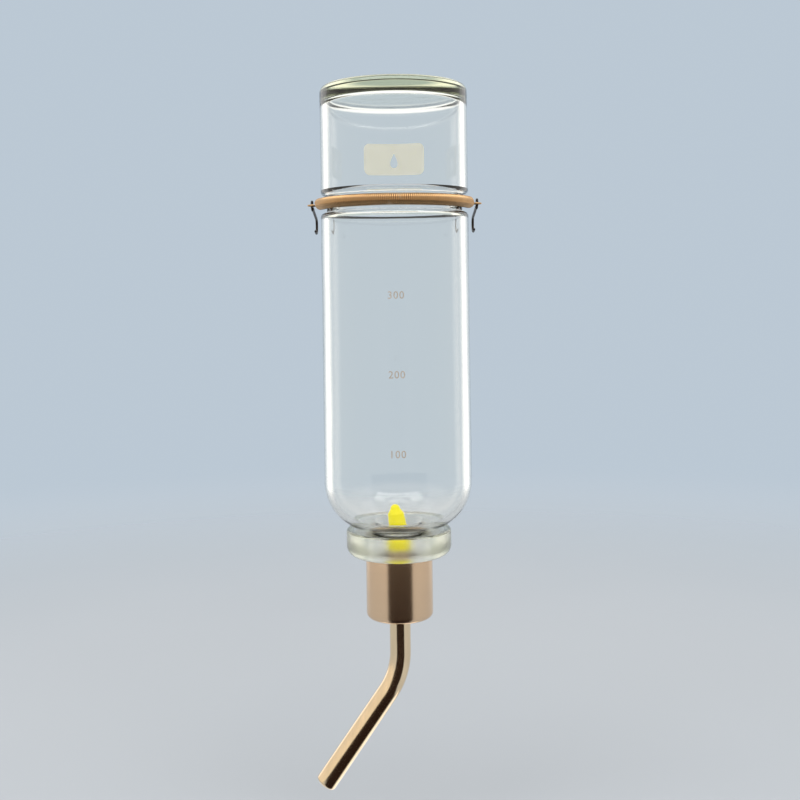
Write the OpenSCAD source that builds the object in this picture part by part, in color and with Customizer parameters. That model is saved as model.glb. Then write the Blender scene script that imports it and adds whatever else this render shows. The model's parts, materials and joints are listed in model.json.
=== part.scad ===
// Hanging drinking bottle for rabbits: an upside-down glass bottle held by a tension spring in a
// groove, with a steel screw cap and a bent steel drinking tube that a ball closes.
// Origin: on the bottle's axis, at mid height of the groove. +Z is up, -Y is the front.
// The hooks reach back along +Y to the cage, and the tube bends towards -X. Millimetres.

/* [Bottle] */
// Outer diameter of the glass body
body_d = 65; // [63:0.5:67]
// Wall thickness of the glass body
wall = 2.8; // [2.6:0.1:3.2]
// Height of the closed base above the groove's middle
base_z = 52.2; // [46:0.2:60]
// Thickness of the closed base
base_t = 6.6; // [5:0.1:8]
// Rounding of the base's edge
base_round = 3.3; // [2:0.1:4]
// Distance from the groove's middle down to the start of the shoulder
straight_l = 121.5; // [112:0.5:130]
// Radius of the shoulder's outer curve
shoulder_r = 22; // [21:0.5:23]

/* [Groove] */
// Depth of the hanging groove
groove_depth = 2.6; // [2.4:0.1:2.8]
// Half of the height of the groove's straight root
groove_half = 3.6; // [3.4:0.1:4.4]
// Rounding of the groove's two lips
lip_round = 2.2; // [1.5:0.1:2.4]

/* [Neck] */
// Outer diameter of the glass ring under the shoulder
ring_d = 46; // [44:0.5:47]
// Height of the glass ring
ring_h = 11.5; // [11:0.1:12.5]
// Rounding of the ring's lower edge
ring_round = 4.3; // [3:0.1:4.5]
// Bore of the neck
bore_d = 19.6; // [19:0.1:20]
// Length of the screw finish below the ring
finish_l = 22; // [21.5:0.1:23]

/* [Screw thread] */
// Rise of the thread in one turn
pitch = 3.5; // [3.4:0.1:3.8]
// Turns of thread on the glass and in the cap
thread_turns = 1.5; // [1:0.25:1.5]

/* [Cap] */
// Outer diameter of the steel cap
cap_d = 29.3; // [29.1:0.1:31]
// Wall thickness of the steel cap
cap_wall = 0.6; // [0.4:0.1:0.7]
// Rounding of the cap's lower edge
cap_round = 2.3; // [1.8:0.1:2.5]

/* [Drinking tube] */
// Outer diameter of the tube
tube_d = 9.2; // [9:0.1:9.6]
// Wall thickness of the tube
tube_wall = 0.6; // [0.5:0.05:0.7]
// Angle of the bend, from straight down
bend_deg = 35; // [25:1:45]
// Radius of the bend at the tube's middle
bend_r = 32; // [28:1:40]
// Straight length beyond the bend
leg_l = 48.9; // [40:0.1:60]
// Diameter of the two balls
ball_d = 7.4; // [7.2:0.1:7.6]

/* [Spring and hooks] */
// Outer diameter of the spring's coils
coil_d = 5.3; // [5:0.1:5.5]
// Diameter of the spring wire
spring_wire_d = 0.8; // [0.7:0.05:0.9]
// Half of the arc in which the spring lies in the groove
spring_half_deg = 68; // [66:1:72]
// Straight length of spring beyond the arc, on each side
spring_end_l = 6; // [5:0.5:7]
// Diameter of the hook wire
hook_wire_d = 1.2; // [1:0.1:1.3]
// Length of a hook from the spring's eye to its bend
hook_l = 30; // [25:1:35]
// Droop of the hooks below level
hook_droop = 8; // [5:1:25]

/* [Hidden] */
$fn = 96;

// Bottle
body_r = body_d / 2;
in_r = body_r - wall;
floor_z = base_z - base_t;
floor_round = 2.6;
groove_r = body_r - groove_depth;
inner_bulge_r = 9;
inner_bulge_in = 2.6;
ring_r = ring_d / 2;
ring_top_z = -straight_l - shoulder_r + 0.7;
ring_top_round = 1;
ring_low_z = ring_top_z - ring_h;
bore_r = bore_d / 2;
mouth_round = 1.5;
mouth_r = bore_r + mouth_round;
shoulder_t = 3;
mouth_z = -straight_l - shoulder_r + shoulder_t;
inner_shoulder_r = in_r - mouth_r;
rim_z = ring_low_z - finish_l;
rim_round = 0.8;
print_t = 0.1;

// Cap, from the outside in, and the screw finish inside it
cap_gap = 0.7;
cap_r = cap_d / 2;
cap_in_r = cap_r - cap_wall;
liner_wall = 0.95;
liner_in_r = cap_in_r - liner_wall;
thread_gap = 0.3;
thread_h = 1.1;
thread_r = liner_in_r - thread_gap;
finish_r = thread_r - thread_h;
liner_thread_h = thread_h - 0.1;
thread_foot = 1.6;
thread_crest = 0.9;
thread_steps = 16;
thread_z = rim_z + 2.8;
face_gap = 0.1;
washer_t = 1.9;
liner_floor_t = 2.9;
liner_floor_z = rim_z - face_gap - washer_t - face_gap;
cap_low_z = liner_floor_z - liner_floor_t - cap_wall;
cap_top_z = ring_low_z - cap_gap;
liner_top_z = cap_top_z - 0.6;

// Bush, tube, collar and nozzle
tube_r = tube_d / 2;
tube_in_r = tube_r - tube_wall;
bush_r = 6.2;
bush_flange_r = 8.6;
bush_flange_t = 1.8;
bush_proud = 0.4;
turning_gap = 0.05;
collar_r = 7.2;
collar_t = 2;
tube_top_z = ring_low_z + 3.3;
bend_z = cap_low_z - 15;
nozzle_flange_r = 5.3;
nozzle_flange_t = 3.8;
nozzle_shank_l = 6;
nozzle_base_r = 4.5;
nozzle_neck_r = 3.5;
nozzle_nose_l = 4.4;
nozzle_tip_r = 2;
nozzle_l = 18.6;
nozzle_lean = 6;
nozzle_bore_r = 1.8;
nozzle_bore_l = 9;
nozzle_port_r = 1.3;
nozzle_port_z = 7.6;
lip_t = 1;
lip_r = 3;
lip_round_r = 0.5;
seam_overlap = 0.3;
seam_step = 0.02;

// Balls, measured along the leg from the bend's end
ball_r = ball_d / 2;
ball_gap = 0.08;
tip_ball_s = leg_l - lip_t - sqrt(ball_r * ball_r - lip_r * lip_r) - ball_gap;
back_ball_s = tip_ball_s - ball_d - ball_gap;

// Spring and hooks
coil_r = coil_d / 2;
wire_r = spring_wire_d / 2;
coil_gap = 0.1;
spring_r = groove_r + coil_r + coil_gap;
eye_r = coil_r - wire_r;
neck_l = 7.2;
eye_s = spring_end_l + neck_l + eye_r;
hook_wire_r = hook_wire_d / 2;
hook_eye_r = 1.9;
hook_eye_back = 0.3;
hook_bend_r = 3.4;
hook_return_l = 5;

// Half-section from the axis out to r, from z0 up to z1, with rounded outer corners
module bar(r, z0, z1, low = 0, high = 0) {
    translate([0, z0 + low]) square([r, z1 - z0 - low - high]);
    if (low > 0) {
        translate([0, z0]) square([r - low, 2 * low]);
        translate([r - low, z0 + low]) circle(low);
    }
    if (high > 0) {
        translate([0, z1 - 2 * high]) square([r - high, 2 * high]);
        translate([r - high, z1 - high]) circle(high);
    }
}

// Half-section of a dome that hangs below z: a quarter circle of radius r ends at outer
module dome(outer, r, z) {
    intersection() {
        translate([outer - r, z]) circle(r);
        translate([outer - r, z - r]) square(r);
    }
    translate([0, z - r]) square([outer - r, r]);
}

// Ring of round wire about the Z axis, or part of one
module wire_arc(radius, wire, deg = 360) {
    rotate_extrude(angle = deg) translate([radius, 0]) circle(wire);
}

// Right-hand screw thread in short steps, from start_z up. It stands from the foot radius to the
// crest radius, outwards or inwards.
module thread(foot_r, crest_r, start_z) {
    sink = foot_r < crest_r ? -0.2 : 0.2;
    for (i = [0 : thread_turns * thread_steps - 1])
        translate([0, 0, start_z + i * pitch / thread_steps])
            rotate([0, 0, i * 360 / thread_steps])
                rotate_extrude(angle = 360 / thread_steps + 0.4)
                    polygon([
                        [foot_r + sink, -thread_foot / 2],
                        [crest_r, -thread_crest / 2],
                        [crest_r, thread_crest / 2],
                        [foot_r + sink, thread_foot / 2]
                    ]);
}

module bottle_outline() {
    bar(body_r, groove_half, base_z, low = lip_round, high = base_round);
    bar(body_r, -straight_l, -groove_half, high = lip_round);
    translate([0, -groove_half - 1]) square([groove_r, 2 * groove_half + 2]);
    dome(body_r, shoulder_r, -straight_l);
    bar(ring_r, ring_low_z, ring_top_z, low = ring_round, high = ring_top_round);
    bar(finish_r, rim_z, ring_low_z + 1, low = rim_round);
}

module bottle_hollow() {
    difference() {
        bar(in_r, mouth_z + inner_shoulder_r, floor_z, high = floor_round);
        translate([in_r - inner_bulge_in + inner_bulge_r, 0]) circle(inner_bulge_r);
    }
    dome(in_r, inner_shoulder_r, mouth_z + inner_shoulder_r);
    difference() {
        translate([0, mouth_z - mouth_round]) square([mouth_r, mouth_round]);
        translate([mouth_r, mouth_z - mouth_round]) circle(mouth_round);
    }
    translate([0, rim_z - 1]) square([bore_r, mouth_z - rim_z]);
}

module glass_bottle() {
    color("lightcyan", 0.4) {
        rotate_extrude() difference() {
            bottle_outline();
            bottle_hollow();
        }
        thread(finish_r, thread_r, thread_z);
    }
}

// Thin patch of the size w by h, with its middle at z, on the glass at the front or the back
module patch(w, h, z, side) {
    intersection() {
        difference() {
            translate([0, 0, z - h]) cylinder(r = body_r + print_t, h = 2 * h);
            translate([0, 0, z - h - 1]) cylinder(r = body_r, h = 2 * h + 2);
        }
        translate([-w / 2, side > 0 ? 0 : -body_d, z - h / 2]) cube([w, body_d, h]);
    }
}

module scale_print() {
    color("tan") for (z = [-106, -73, -40]) patch(9, 3.4, z, -1);
}

module back_print() {
    color("ivory") patch(31, 14.6, 23, 1);
}

// Puts its children at the right-hand end of the spring's arc, with +X along the spring outwards
module at_spring_end() {
    rotate([0, 0, spring_half_deg]) translate([0, -spring_r, 0]) children();
}

// Straight end of the coil, closed by its last turn, then a neck of wire and a level eye
module spring_end() {
    at_spring_end() {
        translate([-seam_overlap, 0, 0]) rotate([0, 90, 0]) difference() {
            cylinder(r = coil_r - seam_step, h = spring_end_l + seam_overlap);
            translate([0, 0, -1]) cylinder(r = coil_r - spring_wire_d + seam_step, h = spring_end_l);
        }
        translate([spring_end_l - wire_r, 0, 0]) rotate([0, 90, 0])
            cylinder(r = wire_r, h = neck_l + wire_r);
        translate([eye_s, 0, 0]) wire_arc(eye_r, wire_r);
    }
}

module retaining_spring() {
    color("rosybrown") {
        rotate([0, 0, -90 - spring_half_deg])
            rotate_extrude(angle = 2 * spring_half_deg)
                translate([spring_r, 0]) difference() {
                    circle(coil_r);
                    circle(coil_r - spring_wire_d);
                }
        spring_end();
        mirror([1, 0, 0]) spring_end();
    }
}

// Right-hand hook. In its own frame it runs along +X from the spring's eye.
module hook() {
    at_spring_end() translate([eye_s + eye_r, 0, 0])
        rotate([0, 0, 90 - spring_half_deg]) rotate([0, hook_droop, 0]) {
            translate([hook_eye_back, 0, 0]) rotate([90, 0, 0]) wire_arc(hook_eye_r, hook_wire_r);
            translate([hook_eye_back + hook_eye_r, 0, 0]) rotate([0, 90, 0])
                cylinder(r = hook_wire_r, h = hook_l - hook_eye_back - hook_eye_r);
            translate([hook_l, 0, -hook_bend_r]) rotate([90, 0, 0]) rotate([0, 0, -90])
                wire_arc(hook_bend_r, hook_wire_r, 180);
            translate([hook_l, 0, -2 * hook_bend_r]) rotate([0, -90, 0])
                cylinder(r = hook_wire_r, h = hook_return_l);
            translate([hook_l - hook_return_l, 0, -2 * hook_bend_r]) sphere(hook_wire_r);
        }
}

module hook_right() {
    color("dimgray") hook();
}

module hook_left() {
    color("dimgray") mirror([1, 0, 0]) hook();
}

module sealing_washer() {
    color("whitesmoke") difference() {
        translate([0, 0, rim_z - face_gap - washer_t]) cylinder(r = liner_in_r - 0.2, h = washer_t);
        translate([0, 0, rim_z - face_gap - washer_t - 1])
            cylinder(r = bush_flange_r + 0.4, h = washer_t + 2);
    }
}

module cap_shell() {
    color("silver") difference() {
        rotate_extrude() difference() {
            bar(cap_r, cap_low_z, cap_top_z, low = cap_round);
            bar(cap_in_r, cap_low_z + cap_wall, cap_top_z + 1, low = cap_round - cap_wall);
        }
        translate([0, 0, cap_low_z - 1]) cylinder(r = bush_r, h = cap_wall + 2);
    }
}

module cap_liner() {
    color("dimgray") {
        difference() {
            rotate_extrude() difference() {
                bar(cap_in_r, cap_low_z + cap_wall, liner_top_z, low = cap_round - cap_wall);
                translate([0, liner_floor_z]) square([liner_in_r, finish_l + washer_t + 2]);
            }
            translate([0, 0, cap_low_z]) cylinder(r = bush_r, h = liner_floor_t + cap_wall + 1);
        }
        thread(liner_in_r, liner_in_r - liner_thread_h, thread_z + pitch / 2);
    }
}

module tube_bush() {
    color("black") difference() {
        union() {
            translate([0, 0, cap_low_z - bush_proud])
                cylinder(r = bush_r, h = liner_floor_z - cap_low_z + bush_proud);
            translate([0, 0, liner_floor_z]) cylinder(r = bush_flange_r, h = bush_flange_t);
        }
        translate([0, 0, cap_low_z - bush_proud - 1]) cylinder(r = tube_r + turning_gap, h = 10);
    }
}

// Puts its children at the end of the tube's bend, with +Z along the leg towards its tip
module along_leg() {
    translate([bend_r * (cos(bend_deg) - 1), 0, bend_z - bend_r * sin(bend_deg)])
        rotate([0, 180 + bend_deg, 0]) children();
}

// The tube from its top to the length l of its leg, as a solid of radius r. The bend is thinner or
// thicker by step, so that its surface doesn't run into those of the straight stretches.
module tube_path(r, l, step) {
    translate([0, 0, bend_z - seam_overlap]) cylinder(r = r, h = tube_top_z - bend_z + seam_overlap);
    translate([-bend_r, 0, bend_z]) rotate([-90, 0, 0])
        rotate_extrude(angle = bend_deg) translate([bend_r, 0]) circle(r + step);
    along_leg() translate([0, 0, -seam_overlap]) cylinder(r = r, h = l + seam_overlap);
}

module drinking_tube() {
    color("lightgray") difference() {
        union() {
            tube_path(tube_r, leg_l - lip_round_r, -seam_step);
            along_leg() rotate_extrude() bar(tube_r, leg_l - lip_t, leg_l, high = lip_round_r);
        }
        tube_path(tube_in_r, leg_l - lip_t, seam_step);
        along_leg() cylinder(r = lip_r, h = leg_l + 1);
        translate([0, 0, tube_top_z - 1]) cylinder(r = tube_in_r, h = 2);
    }
}

module tube_collar() {
    color("gray") translate([0, 0, liner_floor_z + bush_flange_t + face_gap]) difference() {
        cylinder(r = collar_r, h = collar_t);
        translate([0, 0, -1]) cylinder(r = tube_r, h = collar_t + 2);
    }
}

// The nozzle's pointed head, from its middle plane in the flange up to its tip
module nozzle_head() {
    head_l = nozzle_l - nozzle_flange_t / 2;
    rotate_extrude() {
        polygon([
            [0, 0],
            [nozzle_base_r, 0],
            [nozzle_neck_r, head_l - nozzle_nose_l],
            [nozzle_tip_r, head_l - nozzle_tip_r],
            [0, head_l - nozzle_tip_r]
        ]);
        intersection() {
            translate([0, head_l - nozzle_tip_r]) circle(nozzle_tip_r);
            translate([0, head_l - nozzle_tip_r]) square(nozzle_tip_r);
        }
    }
}

module inlet_nozzle() {
    color("yellow") translate([0, 0, tube_top_z]) difference() {
        union() {
            translate([0, 0, -nozzle_shank_l]) cylinder(r = tube_in_r, h = nozzle_shank_l + 1);
            cylinder(r = nozzle_flange_r, h = nozzle_flange_t);
            translate([0, 0, nozzle_flange_t / 2]) rotate([0, -nozzle_lean, 0]) nozzle_head();
        }
        translate([0, 0, -nozzle_shank_l - 1])
            cylinder(r = nozzle_bore_r, h = nozzle_bore_l + nozzle_shank_l + 1);
        translate([-nozzle_flange_r - 1, 0, nozzle_port_z]) rotate([0, 90, 0])
            cylinder(r = nozzle_port_r, h = 2 * nozzle_flange_r + 2);
    }
}

module tip_ball() {
    color("gainsboro") along_leg() translate([0, 0, tip_ball_s]) sphere(ball_r);
}

module back_ball() {
    color("gainsboro") along_leg() translate([0, 0, back_ball_s]) sphere(ball_r);
}

glass_bottle();
scale_print();
back_print();
retaining_spring();
hook_left();
hook_right();
sealing_washer();
cap_shell();
cap_liner();
tube_bush();
drinking_tube();
tube_collar();
inlet_nozzle();
tip_ball();
back_ball();
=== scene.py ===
import json
import math

import bmesh
import bpy
from mathutils import Matrix, Vector

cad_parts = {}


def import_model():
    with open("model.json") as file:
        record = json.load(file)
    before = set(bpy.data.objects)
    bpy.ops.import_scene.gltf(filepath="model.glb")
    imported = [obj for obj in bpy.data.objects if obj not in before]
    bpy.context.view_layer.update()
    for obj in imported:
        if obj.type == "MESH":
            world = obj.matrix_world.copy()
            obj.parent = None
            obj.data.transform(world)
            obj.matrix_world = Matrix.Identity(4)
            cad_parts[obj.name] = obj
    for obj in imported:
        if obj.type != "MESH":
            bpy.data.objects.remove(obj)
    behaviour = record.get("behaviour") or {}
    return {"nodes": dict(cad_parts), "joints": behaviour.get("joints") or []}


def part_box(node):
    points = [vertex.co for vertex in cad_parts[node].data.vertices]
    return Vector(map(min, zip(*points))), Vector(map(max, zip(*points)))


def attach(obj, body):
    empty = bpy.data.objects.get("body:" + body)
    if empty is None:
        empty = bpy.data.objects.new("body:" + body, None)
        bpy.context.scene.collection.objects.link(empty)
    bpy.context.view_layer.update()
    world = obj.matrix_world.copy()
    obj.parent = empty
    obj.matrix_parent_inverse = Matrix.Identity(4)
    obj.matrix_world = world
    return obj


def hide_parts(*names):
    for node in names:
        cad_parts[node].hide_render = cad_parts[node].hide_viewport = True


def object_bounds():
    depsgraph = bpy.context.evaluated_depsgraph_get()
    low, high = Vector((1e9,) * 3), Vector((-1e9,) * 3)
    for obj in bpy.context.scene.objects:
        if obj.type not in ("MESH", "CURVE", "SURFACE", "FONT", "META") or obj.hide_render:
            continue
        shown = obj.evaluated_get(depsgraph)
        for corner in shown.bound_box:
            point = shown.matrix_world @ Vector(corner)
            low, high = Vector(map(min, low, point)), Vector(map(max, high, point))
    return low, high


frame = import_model()
cad_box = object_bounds()

MM = 0.001

# Places and sizes taken from the frame
BOTTLE_LO, BOTTLE_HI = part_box("glass_bottle")
CAP_LO, CAP_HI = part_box("cap_shell")
SPRING_LO, SPRING_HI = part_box("retaining_spring")
SCALE_LO, SCALE_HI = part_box("scale_print")
PANEL_LO, PANEL_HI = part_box("back_print")
TUBE_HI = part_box("drinking_tube")[1]
JOINTS = {j["name"]: j for j in frame["joints"]}

# Bottle
BODY_R = BOTTLE_HI.x
BASE_Z = BOTTLE_HI.z
RIM_Z = BOTTLE_LO.z
WALL = 2.8 * MM
IN_R = BODY_R - WALL
FLOOR_Z = BASE_Z - 6.6 * MM
GROOVE_R = BODY_R - 2.6 * MM
GROOVE_HALF = 3.6 * MM
SHOULDER_Z = -121.5 * MM
SHOULDER_R = 22 * MM
RING_R = 23 * MM
RING_TOP_Z = -142.8 * MM
RING_LOW_Z = -154.3 * MM
FINISH_R = 11.7 * MM
THREAD_H = 1.1 * MM
THREAD_PITCH = 3.5 * MM
THREAD_TURNS = 1.5
THREAD_FADE = 0.06
BORE_R = 9.8 * MM
MOUTH_R = 11.3 * MM
MOUTH_Z = -140.5 * MM
BULGE_IN = 2.6 * MM
BULGE_R = 9 * MM
BASE_ROUND = 3.3 * MM
GROOVE_LIP = 2.2 * MM
GROOVE_CORNER = 0.35 * MM
FLOOR_ROUND = 2.6 * MM
MOUTH_ROUND = 1.5 * MM
RIM_ROUND = 0.7 * MM
LOOP_GAP = 0.3 * MM

# Spring and hooks
COIL_WIRE_R = 0.4 * MM
COIL_PITCH = 0.84 * MM
COIL_R = SPRING_HI.z - COIL_WIRE_R
SPRING_R = -SPRING_LO.y - SPRING_HI.z
SPRING_HALF = math.radians(68)
SPRING_END = 6 * MM
NECK = 7.2 * MM
EYE_R = COIL_R
HOOK_WIRE_R = 0.6 * MM
HOOK_EYE_R = 1.9 * MM
HOOK_BEND_R = 3.4 * MM
HOOK_REACH = 30 * MM
HOOK_RETURN = 5 * MM
HOOK_DROOP = math.radians(8)
HOOK_EYE_LIFT = -0.5 * MM

# Tube
TUBE_R = TUBE_HI.x
TUBE_IN_R = TUBE_R - 0.6 * MM
BEND = math.radians(35)
BEND_R = 32 * MM
BEND_Z = -196.9 * MM
LEG = 48.9 * MM
LIP_R = 3 * MM
LIP_T = 1 * MM
LIP_ROUND = 0.75 * MM
TOP_STEPS = 12
BEND_STEPS = 24
LEG_STEPS = 12

# Cap
CAP_WALL = 0.6 * MM
CAP_HOLE_R = 6.2 * MM

# Prints
PRINT_T = 0.06 * MM
PRINT_R = BODY_R + 0.02 * MM
DIGIT_H = 4.4 * MM
DIGIT_MARGIN = 1.7 * MM
PANEL_CORNER = 3 * MM

# Studio
BACKDROP = (0.50, 0.58, 0.66)
FLOOR_LEVEL = cad_box[0][2] - 0.02
FLOOR_FADE = 0.25
FLOOR_OUT = 1.1
FLAG_IN = 0.1
FLAG_OUT = 0.9
CARD_R = 0.06
FLAG_LIFT = 2 * MM
RING_ROUGH = 0.3


# ---- Mesh tools ----

def arc(cx, cz, radius, start_deg, end_deg, steps):
    """Points of an arc in a half-section, from one angle to another."""
    out = []
    for i in range(steps + 1):
        a = math.radians(start_deg + (end_deg - start_deg) * i / steps)
        out.append((cx + radius * math.cos(a), cz + radius * math.sin(a)))
    return out


def rounded(corners, steps=8, support=0.25 * MM):
    """An outline whose corners (r, z, radius) are rounded, with an edge loop beside each round."""
    out = []
    for i, (r, z, radius) in enumerate(corners):
        if radius == 0 or i in (0, len(corners) - 1):
            out.append((r, z))
            continue
        here = Vector((r, z))
        back = (Vector(corners[i - 1][:2]) - here).normalized()
        ahead = (Vector(corners[i + 1][:2]) - here).normalized()
        half = back.angle(ahead) / 2
        reach = radius / math.tan(half)
        centre = here + (back + ahead).normalized() * (radius / math.sin(half))
        first = here + back * reach
        last = here + ahead * reach
        out.append(tuple(first + back * support))
        v0 = first - centre
        turn = v0.angle_signed(last - centre)
        for k in range(steps + 1):
            rot = Matrix.Rotation(-turn * k / steps, 2)
            out.append(tuple(centre + rot @ v0))
        out.append(tuple(last + ahead * support))
    return out


def outward(obj):
    """Turns all faces to the outside."""
    bm = bmesh.new()
    bm.from_mesh(obj.data)
    bmesh.ops.recalc_face_normals(bm, faces=bm.faces)
    bm.to_mesh(obj.data)
    bm.free()
    return obj


def new_object(name, verts, faces):
    mesh = bpy.data.meshes.new(name)
    mesh.from_pydata([tuple(v) for v in verts], [], faces)
    mesh.validate()
    mesh.update()
    obj = bpy.data.objects.new(name, mesh)
    bpy.context.scene.collection.objects.link(obj)
    return outward(obj)


def smooth(obj, degrees=40):
    """Smooth shading, with sharp edges where two faces meet at more than the angle."""
    mesh = obj.data
    mesh.polygons.foreach_set("use_smooth", [True] * len(mesh.polygons))
    mesh.set_sharp_from_angle(angle=math.radians(degrees))
    return obj


def lathe(name, outline, segments=192, closed=False, push=None):
    """Turns an outline of (r, z) about the Z axis. push(angle, r, z) gives the radius, if given."""
    verts = []
    rows = []
    for r, z in outline:
        if r < 1e-7:
            rows.append([len(verts)])
            verts.append((0, 0, z))
            continue
        row = []
        for k in range(segments):
            a = 2 * math.pi * k / segments
            rr = push(a, r, z) if push else r
            row.append(len(verts))
            verts.append((rr * math.cos(a), rr * math.sin(a), z))
        rows.append(row)
    faces = []
    pairs = list(zip(rows, rows[1:] + rows[:1])) if closed else list(zip(rows, rows[1:]))
    for a, b in pairs:
        for k in range(segments):
            n = (k + 1) % segments
            if len(a) == 1 and len(b) == 1:
                continue
            if len(a) == 1:
                faces.append((a[0], b[k], b[n]))
            elif len(b) == 1:
                faces.append((a[k], b[0], a[n]))
            else:
                faces.append((a[k], b[k], b[n], a[n]))
    return smooth(new_object(name, verts, faces))


def frames_along(points):
    """Two unit vectors across the path at each point, carried along without twist."""
    out = []
    side = None
    for i in range(len(points)):
        ahead = points[min(i + 1, len(points) - 1)]
        behind = points[max(i - 1, 0)]
        t = (ahead - behind).normalized()
        if side is None:
            side = t.orthogonal().normalized()
        else:
            side = (side - t * side.dot(t)).normalized()
        out.append((side, t.cross(side)))
    return out


def wire(name, points, radius, sides=10):
    """A round wire along the points, with rounded ends."""
    pts = [Vector(p) for p in points]
    start = (pts[0] - pts[1]).normalized()
    end = (pts[-1] - pts[-2]).normalized()
    path = []
    radii = []
    for f in (0.98, 0.7, 0.35):
        path.append(pts[0] + start * radius * f)
        radii.append(radius * math.sqrt(1 - f * f))
    path += pts
    radii += [radius] * len(pts)
    for f in (0.35, 0.7, 0.98):
        path.append(pts[-1] + end * radius * f)
        radii.append(radius * math.sqrt(1 - f * f))
    verts = []
    for p, rad, (u, v) in zip(path, radii, frames_along(path)):
        for k in range(sides):
            a = 2 * math.pi * k / sides
            verts.append(p + (u * math.cos(a) + v * math.sin(a)) * rad)
    faces = []
    for i in range(len(path) - 1):
        for k in range(sides):
            n = (k + 1) % sides
            faces.append((i * sides + k, i * sides + n, (i + 1) * sides + n, (i + 1) * sides + k))
    faces.append(tuple(range(sides)))
    faces.append(tuple(reversed(range((len(path) - 1) * sides, len(path) * sides))))
    return smooth(new_object(name, verts, faces), 60)


# ---- Shapes ----

def thread_push(angle, r, z):
    """Radius of the glass finish, with its helical thread."""
    if abs(r - FINISH_R) > 1e-6:
        return r
    start = RIM_Z + 2.8 * MM
    best = 0
    for turn in range(-1, 3):
        along = turn + angle / (2 * math.pi)
        if along < 0 or along > THREAD_TURNS:
            continue
        ends = min(1, along / THREAD_FADE, (THREAD_TURNS - along) / THREAD_FADE)
        off = abs(z - start - along * THREAD_PITCH)
        height = min(1, max(0, (0.9 * MM - off) / (0.4 * MM)))
        best = max(best, height * ends)
    return r + best * THREAD_H


def glass_outline():
    """The bottle's half-section, down the outside and up the inside."""
    shoulder_low = math.degrees(math.asin((RING_TOP_Z - SHOULDER_Z) / SHOULDER_R))
    inner_shoulder = IN_R - MOUTH_R
    top = rounded([
        (0, BASE_Z, 0),
        (BODY_R, BASE_Z, BASE_ROUND),
        (BODY_R, GROOVE_HALF, GROOVE_LIP),
        (GROOVE_R, GROOVE_HALF, GROOVE_CORNER),
        (GROOVE_R, -GROOVE_HALF, GROOVE_CORNER),
        (BODY_R, -GROOVE_HALF, GROOVE_LIP),
        (BODY_R, SHOULDER_Z, 0),
    ])
    shoulder = arc(BODY_R - SHOULDER_R, SHOULDER_Z, SHOULDER_R, 0, shoulder_low, 28)
    ring = rounded([
        shoulder[-1] + (0,),
        (RING_R, RING_TOP_Z, 1 * MM),
        (RING_R, RING_LOW_Z, 4.3 * MM),
        (FINISH_R, RING_LOW_Z, 0.4 * MM),
        (FINISH_R, RING_LOW_Z - 3 * MM, 0),
    ])
    finish = [(FINISH_R, ring[-1][1] - LOOP_GAP * (i + 1)) for i in range(60)]
    rim = rounded([
        finish[-1] + (0,),
        (FINISH_R, RIM_Z, RIM_ROUND),
        (BORE_R, RIM_Z, RIM_ROUND),
        (BORE_R, MOUTH_Z - 3 * MM, 0),
    ])
    mouth = arc(MOUTH_R, MOUTH_Z - MOUTH_ROUND, MOUTH_ROUND, 180, 90, 8)
    bowl = arc(MOUTH_R, MOUTH_Z + inner_shoulder, inner_shoulder, -90, 0, 26)
    bulge_x = IN_R - BULGE_IN + BULGE_R
    half = math.sqrt(BULGE_R ** 2 - (bulge_x - IN_R) ** 2)
    wall_low = [(IN_R, bowl[-1][1] + LOOP_GAP), (IN_R, -half - LOOP_GAP)]
    swing = math.degrees(math.asin(half / BULGE_R))
    bulge = arc(bulge_x, 0, BULGE_R, 180 + swing, 180 - swing, 16)
    floor = rounded([
        (IN_R, half + LOOP_GAP, 0),
        (IN_R, FLOOR_Z, FLOOR_ROUND),
        (0, FLOOR_Z, 0),
    ])
    outside = top[:-1] + shoulder + ring[1:] + finish + rim[1:]
    return outside + mouth + bowl[1:] + wall_low + bulge + floor


def glass_piece():
    return lathe("bottle_glass", glass_outline(), 224, push=thread_push)


def spring_point(s, across, up):
    """A point beside the spring's centreline, s along it from the middle."""
    half_arc = SPRING_R * SPRING_HALF
    over = max(0, abs(s) - half_arc)
    a = math.copysign(min(abs(s), half_arc), s) / SPRING_R
    out = Vector((math.sin(a), -math.cos(a), 0))
    along = Vector((math.cos(a), math.sin(a), 0)) * math.copysign(over, s)
    return out * (SPRING_R + across) + along + Vector((0, 0, up))


def spring_piece():
    """A close-wound coil with an eye bent from the last turn at each end."""
    length = SPRING_R * SPRING_HALF + SPRING_END - COIL_WIRE_R
    turns = 2 * round(length / COIL_PITCH) // 2 * 2
    per_turn = 20
    count = turns * per_turn
    coil = []
    for i in range(count + 1):
        t = i / count * 2 - 1
        a = 2 * math.pi * i / per_turn
        coil.append(spring_point(t * length, COIL_R * math.cos(a), COIL_R * math.sin(a)))
    right = eye_points(length, 1)
    left = eye_points(length, -1)
    return wire("spring_coil", list(reversed(left)) + coil + right, COIL_WIRE_R, 8)


def eye_points(length, side):
    """From the last turn across the end to the middle, along a neck and round a level eye."""
    out = []
    for k in range(1, 9):
        t = k / 8
        out.append(spring_point(side * (length + 0.9 * MM * t * t), COIL_R * (1 - t * t), 0))
    centre = SPRING_R * SPRING_HALF + SPRING_END + NECK + EYE_R
    out.append(spring_point(side * (length + 2.5 * MM), 0, 0))
    out.append(spring_point(side * (centre - EYE_R - 1.6 * MM), 0, 0))
    out.append(spring_point(side * (centre - EYE_R - 0.7 * MM), -0.35 * MM, 0))
    for k in range(31):
        a = math.radians(225 + 300 * k / 30)
        s = centre + EYE_R * math.cos(a)
        out.append(spring_point(side * s, EYE_R * math.sin(a), 0))
    return out


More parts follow.
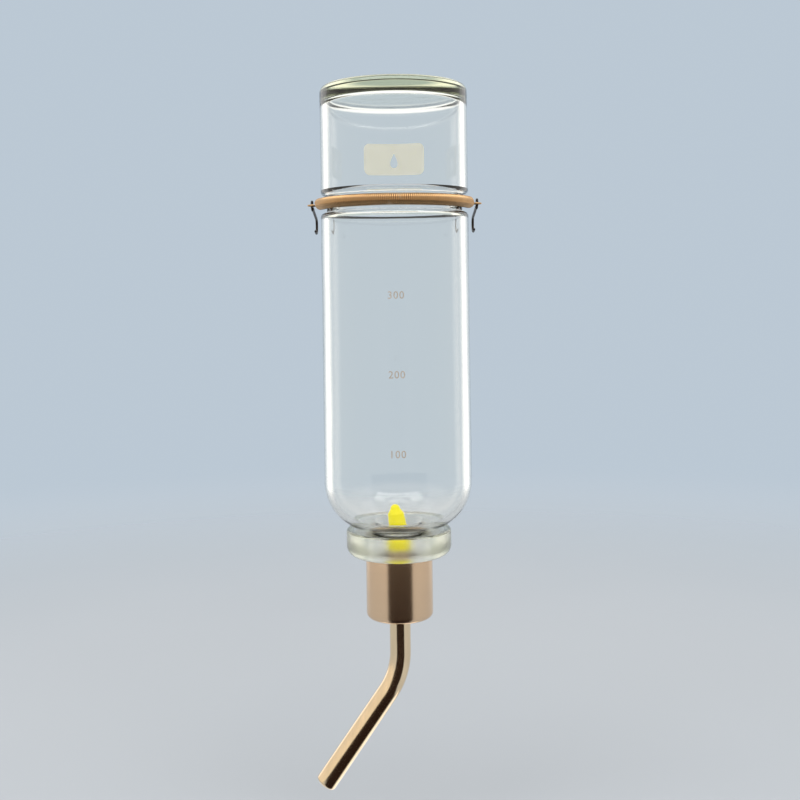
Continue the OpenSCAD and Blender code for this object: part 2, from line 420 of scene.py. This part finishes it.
def hook_piece(name, swing):
    """A hook of one wire: closed eye, long shank, round bend and short return."""
    joint = JOINTS[swing]
    side = 1 if joint["pos_m"][0] > 0 else -1
    eye = Vector(joint["pos_m"])
    axis = Vector(joint["axis"])
    level = Vector((0, 0, 1)).cross(axis).normalized()
    if level.y < 0:
        level = -level
    rise = Vector((0, 0, 1))
    ahead = level * math.cos(HOOK_DROOP) - rise * math.sin(HOOK_DROOP)
    up = level * math.sin(HOOK_DROOP) + rise * math.cos(HOOK_DROOP)
    cross = ahead.cross(up)

    def at(x, z, y=0):
        return eye + ahead * x + up * z + cross * y

    pts = []
    centre = 0.3 * MM
    for k in range(27):
        a = math.radians(-35 - 325 * k / 26)
        lift = HOOK_EYE_LIFT * side * (1 - k / 26)
        pts.append(at(centre + HOOK_EYE_R * math.cos(a), HOOK_EYE_R * math.sin(a), lift))
    shank = centre + HOOK_EYE_R
    for k in range(1, 9):
        pts.append(at(shank + (HOOK_REACH - shank) * k / 9, 0))
    for k in range(17):
        a = math.radians(90 - 180 * k / 16)
        pts.append(at(HOOK_REACH + HOOK_BEND_R * math.cos(a), HOOK_BEND_R * (math.sin(a) - 1)))
    pts.append(at(HOOK_REACH - HOOK_RETURN / 2, -2 * HOOK_BEND_R))
    pts.append(at(HOOK_REACH - HOOK_RETURN, -2 * HOOK_BEND_R))
    return wire(name, pts, HOOK_WIRE_R, 12)


def tube_path():
    """Centreline of the tube, from its top through the bend to the tip."""
    pts = []
    top = TUBE_HI.z
    for k in range(TOP_STEPS + 1):
        pts.append(Vector((0, 0, top + (BEND_Z - top) * k / TOP_STEPS)))
    for k in range(1, BEND_STEPS + 1):
        a = BEND * k / BEND_STEPS
        pts.append(Vector((BEND_R * (math.cos(a) - 1), 0, BEND_Z - BEND_R * math.sin(a))))
    end = pts[-1]
    down = Vector((-math.sin(BEND), 0, -math.cos(BEND)))
    for k in range(1, LEG_STEPS + 1):
        pts.append(end + down * (LEG - LIP_T) * k / LEG_STEPS)
    return pts, down


def tube_piece(sides=64):
    """The bent tube, hollow, with a rolled-in tip."""
    path, down = tube_path()
    rings = [(p, TUBE_R) for p in path]
    last = path[-1]
    for k in range(1, 7):
        a = math.radians(90 * k / 6)
        rings.append((last + down * LIP_T * math.sin(a), TUBE_R - LIP_ROUND * (1 - math.cos(a))))
    rings.append((last + down * LIP_T, LIP_R + 0.25 * MM))
    rings.append((last + down * LIP_T * 0.85, LIP_R))
    rings.append((last + down * LIP_T * 0.15, LIP_R))
    rings.append((last, TUBE_IN_R - 0.2 * MM))
    rings.append((last - down * 0.3 * MM, TUBE_IN_R))
    for p in reversed(path[:-1]):
        rings.append((p, TUBE_IN_R))
    verts = []
    for i, (p, rad) in enumerate(rings):
        t = path_direction(p, path)
        u = Vector((0, 1, 0))
        v = t.cross(u)
        for k in range(sides):
            a = 2 * math.pi * k / sides
            verts.append(p + (u * math.cos(a) + v * math.sin(a)) * rad)
    faces = []
    for i in range(len(rings)):
        j = (i + 1) % len(rings)
        for k in range(sides):
            n = (k + 1) % sides
            faces.append((i * sides + k, i * sides + n, j * sides + n, j * sides + k))
    return smooth(new_object("tube_polished", verts, faces))


def path_direction(p, path):
    """The tube's direction at a point of it."""
    if p.z >= BEND_Z - 1e-9:
        return Vector((0, 0, -1))
    bend_end = path[TOP_STEPS + BEND_STEPS]
    a = min(BEND, math.atan2(BEND_Z - p.z, p.x + BEND_R)) if p.z > bend_end.z else BEND
    return Vector((-math.sin(a), 0, -math.cos(a)))


def cap_piece():
    """The drawn steel cap: a thin cup with a hole for the tube."""
    low = CAP_LO.z
    top = CAP_HI.z
    cap_r = CAP_HI.x
    inside = low + CAP_WALL
    half_way = low + CAP_WALL / 2
    outline = rounded([
        (CAP_HOLE_R, half_way, 0),
        (CAP_HOLE_R, low, 0.15 * MM),
        (cap_r, low, 2.3 * MM),
        (cap_r, top, 0.28 * MM),
        (cap_r - CAP_WALL, top, 0.28 * MM),
        (cap_r - CAP_WALL, inside, 1.7 * MM),
        (CAP_HOLE_R, inside, 0.15 * MM),
        (CAP_HOLE_R, half_way, 0),
    ], support=0.05 * MM)
    return lathe("cap_steel_shell", outline[:-1], 160, closed=True)


def wrap(obj, radius, front):
    """Bends a flat piece in the XZ plane round the bottle, at the front or the back."""
    for v in obj.data.vertices:
        a = v.co.x / radius
        depth = radius + v.co.y
        side = -1 if front else 1
        v.co = Vector((depth * math.sin(a), side * depth * math.cos(a), v.co.z))
    return obj


def slice_columns(bm, half_width, step):
    """Cuts a flat mesh into narrow columns, so that it can bend."""
    x = -half_width
    while x < half_width:
        geom = bm.verts[:] + bm.edges[:] + bm.faces[:]
        bmesh.ops.bisect_plane(bm, geom=geom, plane_co=(x, 0, 0), plane_no=(1, 0, 0))
        x += step


def print_sheet(name, curve):
    """A thin flat print from a filled curve or digits, cut so that it can be wrapped."""
    obj = bpy.data.objects.new(name + "_flat", curve)
    bpy.context.scene.collection.objects.link(obj)
    bpy.context.view_layer.update()
    graph = bpy.context.evaluated_depsgraph_get()
    mesh = bpy.data.meshes.new_from_object(obj.evaluated_get(graph))
    bpy.data.objects.remove(obj)
    bm = bmesh.new()
    bm.from_mesh(mesh)
    slice_columns(bm, 16 * MM, 0.8 * MM)
    bmesh.ops.remove_doubles(bm, verts=bm.verts, dist=1e-7)
    geom = bmesh.ops.extrude_face_region(bm, geom=bm.faces[:])["geom"]
    for v in [g for g in geom if isinstance(g, bmesh.types.BMVert)]:
        v.co.z += PRINT_T
    bm.to_mesh(mesh)
    bm.free()
    return mesh


def text_curve(body, size):
    curve = bpy.data.curves.new("digits_" + body, "FONT")
    curve.body = body
    curve.size = size
    curve.align_x = "CENTER"
    curve.align_y = "CENTER"
    curve.space_character = 1.12
    curve.resolution_u = 4
    return curve


def scale_piece():
    """The volume scale on the front of the glass: three numbers, one above another."""
    parts = []
    low_z = SCALE_LO.z + DIGIT_MARGIN
    step = (SCALE_HI.z - SCALE_LO.z - 2 * DIGIT_MARGIN) / 2
    for i, number in enumerate(("100", "200", "300")):
        mesh = print_sheet("scale", text_curve(number, DIGIT_H))
        obj = bpy.data.objects.new("scale_" + number, mesh)
        bpy.context.scene.collection.objects.link(obj)
        for v in mesh.vertices:
            v.co = Vector((v.co.x, v.co.z, v.co.y + low_z + i * step))
        wrap(obj, PRINT_R, True)
        parts.append(obj)
    return join(parts, "scale_numbers")


def join(parts, name):
    """Several pieces of print as one object."""
    bpy.ops.object.select_all(action="DESELECT")
    for p in parts:
        p.select_set(True)
    bpy.context.view_layer.objects.active = parts[0]
    bpy.ops.object.join()
    obj = bpy.context.view_layer.objects.active
    obj.name = name
    return outward(obj)


def badge_curve(w, h, corner):
    """A filled rounded panel with a drop-shaped window."""
    curve = bpy.data.curves.new("badge", "CURVE")
    curve.dimensions = "2D"
    curve.fill_mode = "BOTH"
    outer = rounded_rectangle(w, h, corner)
    drop = []
    for k in range(36):
        a = 2 * math.pi * k / 36
        narrow = math.sin(a / 2) ** 1.5
        drop.append((2.6 * MM * math.sin(a) * narrow, 3.6 * MM * math.cos(a) - 0.4 * MM))
    for pts in (outer, drop):
        spline = curve.splines.new("POLY")
        spline.points.add(len(pts) - 1)
        for p, (x, y) in zip(spline.points, pts):
            p.co = (x, y, 0, 1)
        spline.use_cyclic_u = True
    return curve


def rounded_rectangle(w, h, corner):
    out = []
    for cx, cy, start in ((1, 1, 0), (-1, 1, 90), (-1, -1, 180), (1, -1, 270)):
        out += arc(cx * (w / 2 - corner), cy * (h / 2 - corner), corner, start, start + 90, 6)
    return out


def badge_piece():
    """The generic cream panel printed on the back of the glass."""
    size = PANEL_HI - PANEL_LO
    mesh = print_sheet("badge", badge_curve(size.x, size.z, PANEL_CORNER))
    obj = bpy.data.objects.new("back_panel", mesh)
    bpy.context.scene.collection.objects.link(obj)
    middle = (PANEL_HI.z + PANEL_LO.z) / 2
    for v in mesh.vertices:
        v.co = Vector((v.co.x, v.co.z, v.co.y + middle))
    wrap(obj, PRINT_R, False)
    return outward(obj)


# ---- Materials ----

def material(name):
    mat = bpy.data.materials.new(name)
    mat.use_nodes = True
    nodes = mat.node_tree.nodes
    return mat, nodes, mat.node_tree.links, nodes["Principled BSDF"]


def coords(nodes, links, scale):
    """Object coordinates, stretched."""
    tex = nodes.new("ShaderNodeTexCoord")
    mapping = nodes.new("ShaderNodeMapping")
    mapping.inputs["Scale"].default_value = scale
    links.new(tex.outputs["Object"], mapping.inputs["Vector"])
    return mapping.outputs["Vector"]


def noise(nodes, links, vector, scale, detail=3):
    n = nodes.new("ShaderNodeTexNoise")
    n.inputs["Scale"].default_value = scale
    n.inputs["Detail"].default_value = detail
    links.new(vector, n.inputs["Vector"])
    return n.outputs["Fac"]


def ramp(nodes, links, value, stops):
    node = nodes.new("ShaderNodeValToRGB")
    elements = node.color_ramp.elements
    while len(elements) < len(stops):
        elements.new(0.5)
    for e, (pos, col) in zip(elements, stops):
        e.position = pos
        e.color = col if len(col) == 4 else tuple(col) + (1,)
    links.new(value, node.inputs["Fac"])
    return node.outputs["Color"]


def span(nodes, links, value, low, high):
    """A value from 0..1 mapped onto low..high."""
    node = nodes.new("ShaderNodeMapRange")
    node.inputs["To Min"].default_value = low
    node.inputs["To Max"].default_value = high
    links.new(value, node.inputs["Value"])
    return node.outputs["Result"]


def bump(nodes, links, shader, height, strength, distance):
    node = nodes.new("ShaderNodeBump")
    node.inputs["Strength"].default_value = strength
    node.inputs["Distance"].default_value = distance
    links.new(height, node.inputs["Height"])
    links.new(node.outputs["Normal"], shader.inputs["Normal"])


def glass_material():
    """Clear soda glass, frosted at the neck ring. Long ways through it come out yellow-green."""
    mat, nodes, links, shader = material("clear_glass")
    shader.inputs["Transmission Weight"].default_value = 1
    shader.inputs["IOR"].default_value = 1.5
    smudge = noise(nodes, links, coords(nodes, links, (1, 1, 0.35)), 60, 4)
    split = nodes.new("ShaderNodeSeparateXYZ")
    links.new(coords(nodes, links, (1, 1, 1)), split.inputs["Vector"])
    frosted = span(nodes, links, split.outputs["Z"], RING_ROUGH, 0.0)
    frosted.node.inputs["From Min"].default_value = RING_TOP_Z - 1 * MM
    frosted.node.inputs["From Max"].default_value = RING_TOP_Z
    tint = ramp(nodes, links, frosted, [(0.0, (1, 1, 1)), (RING_ROUGH, (0.95, 0.945, 1))])
    links.new(tint, shader.inputs["Base Color"])
    rough = nodes.new("ShaderNodeMath")
    links.new(span(nodes, links, smudge, 0.0, 0.03), rough.inputs[0])
    links.new(frosted, rough.inputs[1])
    links.new(rough.outputs["Value"], shader.inputs["Roughness"])
    wave = noise(nodes, links, coords(nodes, links, (1, 1, 0.25)), 70, 2)
    bump(nodes, links, shader, wave, 0.2, 0.0004)
    absorb = nodes.new("ShaderNodeVolumeAbsorption")
    absorb.inputs["Color"].default_value = (0.63, 0.66, 0.05, 1)
    absorb.inputs["Density"].default_value = 10
    links.new(absorb.outputs["Volume"], nodes["Material Output"].inputs["Volume"])
    return mat


def steel_material(name, tint, rough, grain_scale, stretch, anisotropic=0.0, mottle=0.08):
    mat, nodes, links, shader = material(name)
    shader.inputs["Metallic"].default_value = 1
    shader.inputs["Anisotropic"].default_value = anisotropic
    grain = noise(nodes, links, coords(nodes, links, stretch), grain_scale, 5)
    dark = tuple(c * (1 - mottle) for c in tint)
    light = tuple(min(1, c * (1 + mottle)) for c in tint)
    links.new(ramp(nodes, links, grain, [(0.3, dark), (0.7, light)]), shader.inputs["Base Color"])
    links.new(span(nodes, links, grain, rough * (1 - mottle), rough * (1 + mottle)),
              shader.inputs["Roughness"])
    bump(nodes, links, shader, grain, mottle, 0.00005)
    return mat


def plastic_material(name, colour, rough, scatter=0.0, glow=0.0):
    mat, nodes, links, shader = material(name)
    # A glow above zero makes the piece give off light in its own colour: painted light, since the
    # piece is no lamp.
    shader.inputs["Emission Color"].default_value = tuple(colour) + (1,)
    shader.inputs["Emission Strength"].default_value = glow
    shader.inputs["Subsurface Weight"].default_value = scatter
    shader.inputs["Subsurface Radius"].default_value = (0.004, 0.003, 0.001)
    patchy = noise(nodes, links, coords(nodes, links, (1, 1, 1)), 220, 3)
    dark = tuple(c * 0.9 for c in colour)
    light = tuple(min(1, c * 1.06) for c in colour)
    links.new(ramp(nodes, links, patchy, [(0.3, dark), (0.7, light)]), shader.inputs["Base Color"])
    links.new(span(nodes, links, patchy, rough * 0.8, rough * 1.25), shader.inputs["Roughness"])
    fine = noise(nodes, links, coords(nodes, links, (1, 1, 1)), 2600, 2)
    bump(nodes, links, shader, fine, 0.2, 0.00003)
    return mat


def assign(obj, mat):
    obj.data.materials.clear()
    obj.data.materials.append(mat)
    return obj


def place(obj, body, slot, mat, *nodes):
    """Gives a piece its material and its body, and hides the CAD nodes that it stands for."""
    assign(obj, mat)
    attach(obj, body)
    if nodes:
        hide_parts(*nodes)
    return obj


# ---- The object ----

def build_pieces():
    steel_coil = steel_material("spring_steel", (0.50, 0.31, 0.15), 0.2, 900, (1, 1, 1))
    hook_steel = steel_material("hook_wire", (0.035, 0.028, 0.024), 0.4, 900, (1, 1, 1))
    cap_steel = steel_material("cap_steel", (0.78, 0.56, 0.37), 0.2, 120, (1, 1, 16), 0.3, 0.03)
    tube_steel = steel_material("tube_steel", (0.90, 0.70, 0.46), 0.15, 260, (1, 1, 0.2))
    place(glass_piece(), "bottle", "clear_glass", glass_material(), "glass_bottle")
    place(spring_piece(), "spring", "spring_steel", steel_coil, "retaining_spring")
    left = hook_piece("hook_wire_left", "hook_left_swing")
    right = hook_piece("hook_wire_right", "hook_right_swing")
    place(left, "left_hook", "hook_wire", hook_steel, "hook_left")
    place(right, "right_hook", "hook_wire", hook_steel, "hook_right")
    place(cap_piece(), "cap", "cap_steel", cap_steel, "cap_shell")
    place(tube_piece(), "spout", "tube_steel", tube_steel, "drinking_tube")
    grey = plastic_material("scale_ink", (0.47, 0.39, 0.31), 0.6)
    place(scale_piece(), "bottle", "scale_ink", grey, "scale_print")
    # The cream print glows a little: painted light that brightens it, since the print itself gives
    # no light.
    cream = plastic_material("cream_ink", (0.95, 0.92, 0.80), 0.6, glow=0.38)
    place(badge_piece(), "bottle", "cream_ink", cream, "back_print")


def finish_nodes():
    nodes = frame["nodes"]
    looks = {
        "sealing_washer": plastic_material("seal_silicone", (0.80, 0.80, 0.77), 0.5, 0.1),
        "cap_liner": plastic_material("liner_plastic", (0.78, 0.76, 0.70), 0.45),
        "tube_bush": plastic_material("bush_rubber", (0.03, 0.03, 0.03), 0.55),
        "tube_collar": steel_material("collar_steel", (0.60, 0.57, 0.53), 0.3, 400, (1, 1, 6)),
        # The yellow nozzle glows a little (the last number): painted light, since the nozzle gives
        # no light.
        "inlet_nozzle": plastic_material("yellow_plastic", (1.0, 0.86, 0.0), 0.3, 0.15, 0.5),
        "tip_ball": steel_material("ball_steel", (0.75, 0.75, 0.75), 0.08, 500, (1, 1, 1)),
    }
    looks["back_ball"] = looks["tip_ball"]
    for name, mat in looks.items():
        smooth(assign(nodes[name], mat), 35)


# ---- Scene ----

def area_light(name, place_at, target, size, size_y, power):
    data = bpy.data.lights.new(name, "AREA")
    data.shape = "RECTANGLE"
    data.size = size
    data.size_y = size_y
    data.energy = power
    lamp = bpy.data.objects.new(name, data)
    lamp.location = place_at
    aim = Vector(target) - Vector(place_at)
    lamp.rotation_euler = aim.to_track_quat("-Z", "Y").to_euler()
    bpy.context.scene.collection.objects.link(lamp)


def stage_piece(name, verts, faces):
    mesh = bpy.data.meshes.new(name)
    mesh.from_pydata([tuple(v) for v in verts], [], faces)
    obj = bpy.data.objects.new(name, mesh)
    bpy.context.scene.collection.objects.link(obj)
    return obj


def fan(name, inner, outer, start_deg, end_deg, z, steps=48):
    """A flat ring sector round the object."""
    verts = []
    faces = []
    for k in range(steps + 1):
        a = math.radians(start_deg + (end_deg - start_deg) * k / steps)
        out = Vector((math.sin(a), -math.cos(a), 0))
        verts.append(out * inner + Vector((0, 0, z)))
        verts.append(out * outer + Vector((0, 0, z)))
    for k in range(steps):
        a = 2 * k
        faces.append((a, a + 1, a + 3, a + 2))
    return stage_piece(name, verts, faces)


def floor_piece():
    """A pale floor that fades into the surroundings far from the object."""
    floor = fan("floor", 0.0, FLOOR_OUT, 0, 360, FLOOR_LEVEL)
    mat, nodes, links, shader = material("floor")
    shader.inputs["Roughness"].default_value = 1
    shader.inputs["Specular IOR Level"].default_value = 0
    flat = coords(nodes, links, (1, 1, 0))
    tone = noise(nodes, links, flat, 3, 2)
    links.new(ramp(nodes, links, tone, [(0.2, (0.50, 0.53, 0.56)), (0.8, (0.53, 0.56, 0.59))]),
              shader.inputs["Base Color"])
    away = nodes.new("ShaderNodeVectorMath")
    away.operation = "LENGTH"
    links.new(flat, away.inputs[0])
    fade = span(nodes, links, away.outputs["Value"], 1, 0)
    fade.node.interpolation_type = "SMOOTHSTEP"
    fade.node.inputs["From Min"].default_value = FLOOR_FADE
    fade.node.inputs["From Max"].default_value = FLOOR_OUT * 0.97
    links.new(fade, shader.inputs["Alpha"])
    assign(floor, mat)


def flags():
    """Two dark cloths and a white card on the floor, which only reflections show."""
    mat, _, _, shader = material("dark_flag")
    shader.inputs["Base Color"].default_value = (0.02, 0.012, 0.01, 1)
    shader.inputs["Roughness"].default_value = 1
    shader.inputs["Specular IOR Level"].default_value = 0
    front = fan("front_flag", FLAG_IN, FLAG_OUT, -40, 44, FLOOR_LEVEL + FLAG_LIFT)
    corners = ((-30, -3), (-60, -70), (-50, -105), (64, -105), (48, -14))
    verts = [(x * MM, y * MM, FLOOR_LEVEL + 3 * MM) for x, y in corners]
    near = stage_piece("near_flag", verts, [tuple(range(len(verts)))])
    card = fan("bounce_card", 0.0, CARD_R, 95, 265, FLOOR_LEVEL + FLAG_LIFT)
    assign(front, mat)
    assign(near, mat)
    white, _, _, shader = material("bounce_card")
    shader.inputs["Base Color"].default_value = (0.8, 0.8, 0.8, 1)
    shader.inputs["Emission Color"].default_value = (1, 0.98, 0.95, 1)
    shader.inputs["Emission Strength"].default_value = 0.5
    assign(card, white)
    for obj in (front, near, card):
        obj.visible_camera = False
        obj.visible_diffuse = False
        obj.visible_transmission = obj is card
        obj.visible_shadow = False
        obj.visible_volume_scatter = False


def blend(nodes, links, factor, first, second):
    """A colour between two, where the second is either another output or a plain colour."""
    mix = nodes.new("ShaderNodeMix")
    mix.data_type = "RGBA"
    links.new(factor, mix.inputs["Factor"])
    links.new(first, mix.inputs["A"])
    if isinstance(second, tuple):
        mix.inputs["B"].default_value = second + (1,)
    else:
        links.new(second, mix.inputs["B"])
    return mix.outputs["Result"]


def world():
    """Pale surroundings, brighter overhead and at both sides behind the object."""
    scene_world = bpy.data.worlds.new("studio")
    bpy.context.scene.world = scene_world
    scene_world.use_nodes = True
    nodes = scene_world.node_tree.nodes
    links = scene_world.node_tree.links
    background = nodes["Background"]
    tex = nodes.new("ShaderNodeTexCoord")
    split = nodes.new("ShaderNodeSeparateXYZ")
    links.new(tex.outputs["Generated"], split.inputs["Vector"])
    back = span(nodes, links, split.outputs["Y"], 0, 1)
    back.node.inputs["From Min"].default_value = -1
    rear = [(0.82, (1.5, 1.48, 1.45)), (0.92, (1.3, 1.29, 1.28)), (0.965, BACKDROP)]
    warm = ramp(nodes, links, back, [(0, (0.95, 0.90, 0.80)), (0.76, (0.82, 0.78, 0.74))] + rear)
    cool = ramp(nodes, links, back, [(0, BACKDROP), (0.76, (0.62, 0.68, 0.74))] + rear)
    height = ramp(nodes, links, split.outputs["Z"], [
        (0.0, (0, 0, 0)),
        (0.30, (0, 0, 0)),
        (0.55, (1, 1, 1)),
    ])
    path = nodes.new("ShaderNodeLightPath").outputs
    around = blend(nodes, links, path["Is Transmission Ray"], warm, cool)
    colour = blend(nodes, links, height, around, (1.2, 1.2, 1.2))
    colour = blend(nodes, links, path["Is Diffuse Ray"], colour, (0.85, 0.85, 0.85))
    colour = blend(nodes, links, path["Is Camera Ray"], colour, BACKDROP)
    links.new(colour, background.inputs["Color"])


def camera():
    """At the photograph's height, distance and small roll."""
    data = bpy.data.cameras.new("camera")
    data.lens = 51.75
    data.sensor_width = 36
    data.shift_x = 0.0055
    data.shift_y = -0.144
    data.clip_start = 0.01
    cam = bpy.data.objects.new("camera", data)
    level = Matrix.Rotation(math.radians(90), 4, "X")
    roll = Matrix.Rotation(math.radians(0.77), 4, "Y")
    cam.matrix_world = Matrix.Translation((0, -0.508, -0.0356)) @ roll @ level
    bpy.context.scene.collection.objects.link(cam)
    bpy.context.scene.camera = cam


bpy.context.scene.view_settings.view_transform = "Standard"
camera()
world()
area_light("top_softbox", (0.0, -0.35, 0.9), (0, 0, -0.05), 1.4, 0.6, 6)
floor_piece()
flags()
build_pieces()
finish_nodes()
